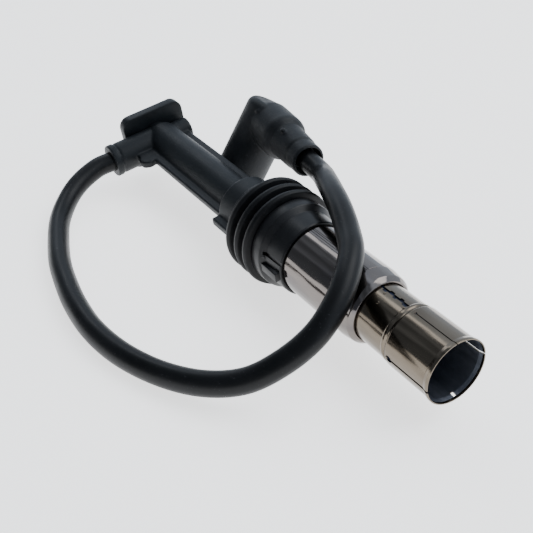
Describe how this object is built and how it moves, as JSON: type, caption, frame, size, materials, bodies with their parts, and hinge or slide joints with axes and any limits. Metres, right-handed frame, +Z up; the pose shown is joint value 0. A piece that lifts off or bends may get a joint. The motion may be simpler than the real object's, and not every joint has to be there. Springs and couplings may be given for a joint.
{
  "type": "ignition lead",
  "caption": "Long-reach shielded spark plug connector with a ribbed well seal, long shaft and grip plate, joined by a short curved cable to a right-angle coil boot.",
  "frame": {"origin": "centre of the open mouth of the contact sleeve, on the connector's axis", "axes": "+X out of the plug mouth along the connector's axis; +Z up, as the lead lies on a table; -Y the side the cable leaves the head"},
  "size_m": [0.176, 0.1094, 0.0386],
  "materials": {
    "sleeve_steel": "bright nickel-plated spring steel",
    "shield_steel": "bright tinned steel sheet",
    "insulator": "dark blue-grey heat-resistant moulding",
    "contact_brass": "turned brass",
    "spring_steel": "plain steel wire and pressed caps",
    "resistor_ceramic": "glazed ceramic",
    "housing_black": "satin black moulding",
    "gasket_red": "dark red silicone rubber",
    "seal_rubber": "semi-gloss black rubber",
    "shaft_black": "satin black moulding",
    "rod_copper": "dull copper",
    "cable_jacket": "smooth black silicone jacket",
    "boot_rubber": "soft black rubber with a slight sheen"
  },
  "bodies": {
    "lead": {"contact_sleeve": "sleeve_steel", "shield_tube": "shield_steel", "plug_insulator": "insulator", "contact_spring": "spring_steel", "terminal_guide": "contact_brass", "resistor_body": "resistor_ceramic", "resistor_caps": "spring_steel", "lower_housing": "housing_black", "housing_gasket": "gasket_red", "well_seal": "seal_rubber", "shaft": "shaft_black", "conductor_rod": "rod_copper", "grip_plate": "shaft_black", "outlet_grommet": "seal_rubber", "cable_head_end": "cable_jacket", "head_core": "rod_copper", "head_ferrule": "contact_brass", "cable": "cable_jacket", "cable_coil_end": "cable_jacket", "coil_core": "rod_copper", "coil_boot": "boot_rubber", "coil_ferrule": "contact_brass", "coil_terminal": "contact_brass"},
    "plug_contact": {"terminal_socket": "contact_brass", "snap_ring": "spring_steel"}
  },
  "joints": [
    {"name": "contact_slide", "type": "slide", "parent": "lead", "child": "plug_contact", "axis": [-1, 0, 0], "range_m": [0, 0.002], "stiffness_N_per_m": 300, "springref_m": -0.002, "deforming": ["contact_spring"]}
  ]
}
